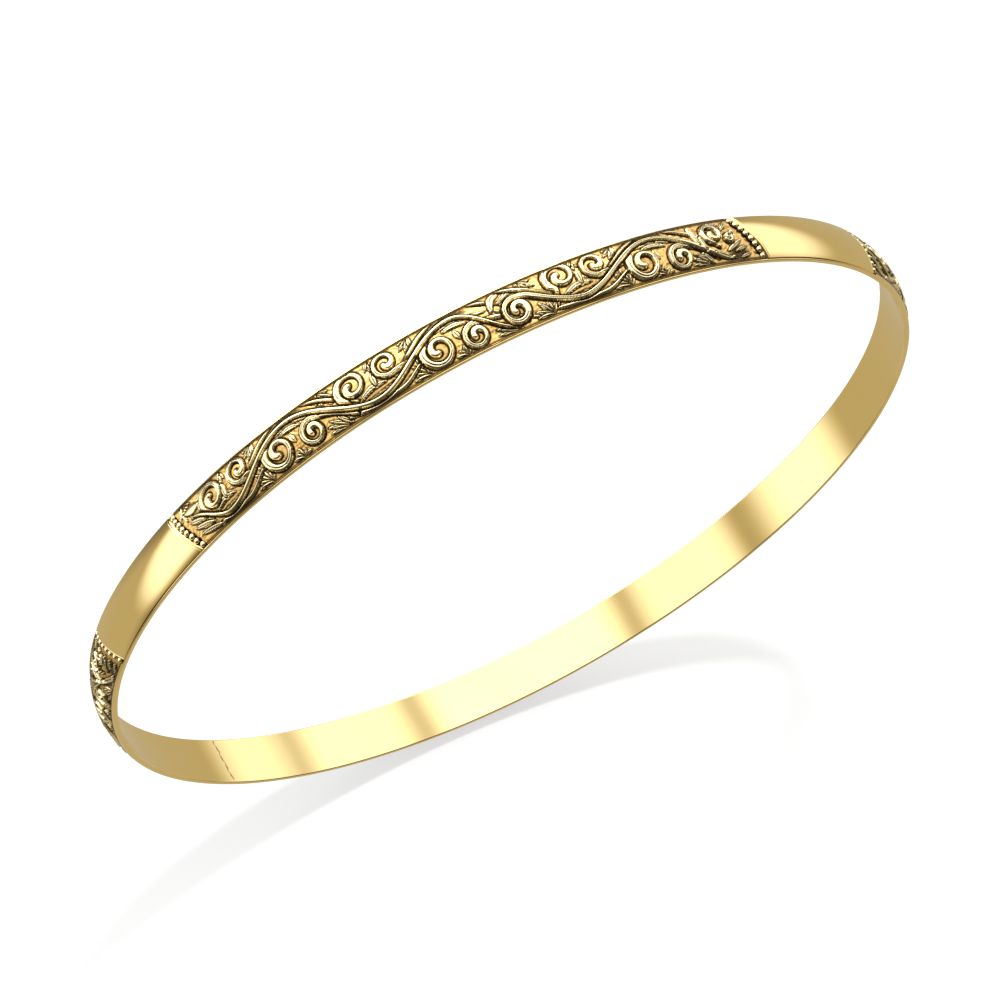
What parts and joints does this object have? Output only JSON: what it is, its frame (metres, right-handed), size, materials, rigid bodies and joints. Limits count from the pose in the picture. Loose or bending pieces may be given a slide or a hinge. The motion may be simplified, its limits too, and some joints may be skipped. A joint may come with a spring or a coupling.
{
  "type": "bangle bracelet",
  "caption": "Slim round rigid bangle with a flat polished inner band and a domed outer band of scroll-relief panels, beaded rows and plain polished stretches.",
  "frame": {"origin": "on the ring's axis, at the level of the lower rim", "axes": "+Z along the ring's axis, through the wrist opening; -Y is the front, the middle of one scroll panel; +X is to the right seen from the front"},
  "size_m": [0.0668, 0.0668, 0.0039],
  "materials": {
    "polished_gold": "mirror-polished yellow gold",
    "relief_gold": "polished crests over darkened, orange-brown recesses",
    "bead_gold": "bright beads with dark gaps",
    "gold_solder": "satin, a little paler and duller than the band"
  },
  "bodies": {
    "root": {"inner_liner": "polished_gold", "liner_seam": "gold_solder", "scroll_panel_front": "relief_gold", "scroll_panel_right": "relief_gold", "scroll_panel_left": "relief_gold", "plain_band_front_left": "polished_gold", "plain_band_front_right": "polished_gold", "plain_band_back": "polished_gold", "bead_row_front_left": "bead_gold", "bead_row_front_right": "bead_gold", "bead_row_right_front": "bead_gold", "bead_row_right_back": "bead_gold", "bead_row_left_front": "bead_gold", "bead_row_left_back": "bead_gold", "end_collar_front_left": "polished_gold", "end_collar_front_right": "polished_gold", "end_collar_right_front": "polished_gold", "end_collar_right_back": "polished_gold", "end_collar_left_front": "polished_gold", "end_collar_left_back": "polished_gold"}
  },
  "joints": []
}
